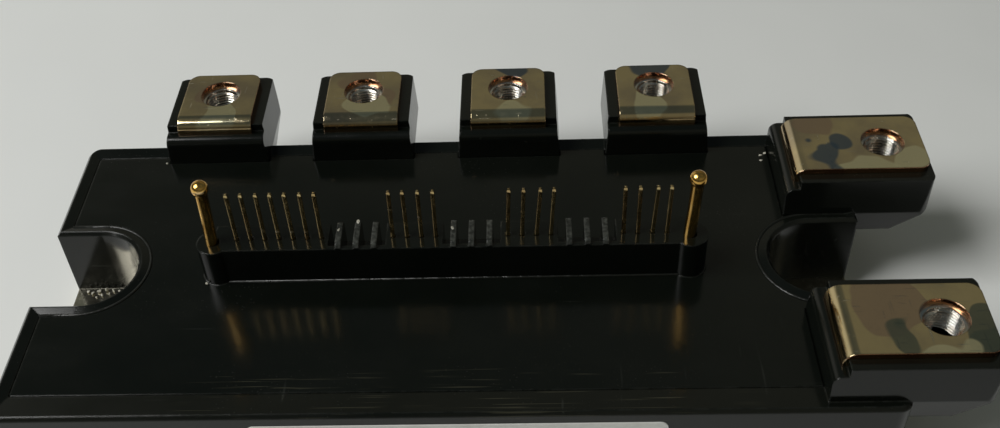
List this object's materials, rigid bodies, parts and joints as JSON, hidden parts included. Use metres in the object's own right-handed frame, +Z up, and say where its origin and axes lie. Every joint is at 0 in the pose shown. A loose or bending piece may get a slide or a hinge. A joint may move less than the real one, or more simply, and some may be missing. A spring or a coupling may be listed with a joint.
{
  "type": "power transistor module",
  "caption": "Flat black power module on a metal base, with screw terminals along the back and one end, a strip of control pins with ball-headed guide pins, and a notch at each mounting hole.",
  "frame": {"origin": "midpoint between the two mounting holes, on the base plate's underside", "axes": "+X along the module towards the two supply terminals, +Y towards the row of phase terminals, +Z up along the mounting screws"},
  "size_m": [0.129, 0.064, 0.0324],
  "materials": {
    "base_metal": "satin",
    "case_plastic": "gloss",
    "label": "matte",
    "terminal_plating": "satin",
    "nut_steel": "satin",
    "pin_gold": "polished",
    "guide_brass": "satin",
    "solder": "satin",
    "tile_ceramic": "matte",
    "copper": "satin",
    "silicon": "gloss",
    "wire_aluminium": "satin",
    "board": "satin",
    "chip_plastic": "matte"
  },
  "bodies": {
    "root": {"base_plate": "base_metal", "case_frame": "case_plastic", "top_cover": "case_plastic", "front_label": "label", "phase_terminal_1": "terminal_plating", "phase_terminal_2": "terminal_plating", "phase_terminal_3": "terminal_plating", "phase_terminal_4": "terminal_plating", "supply_terminal_back": "terminal_plating", "supply_terminal_front": "terminal_plating", "terminal_nuts": "nut_steel", "control_pins_1": "pin_gold", "control_pins_2": "pin_gold", "control_pins_3": "pin_gold", "control_pins_4": "pin_gold", "guide_pin_left": "guide_brass", "guide_pin_right": "guide_brass", "solder_left": "solder", "solder_right": "solder", "ceramic_left": "tile_ceramic", "ceramic_right": "tile_ceramic", "copper_tracks_left": "copper", "copper_tracks_right": "copper", "transistor_chips": "silicon", "diode_chips": "silicon", "bond_wires": "wire_aluminium", "terminal_wires": "wire_aluminium", "control_board": "board", "driver_chips": "chip_plastic", "gate_posts": "pin_gold"}
  },
  "joints": []
}
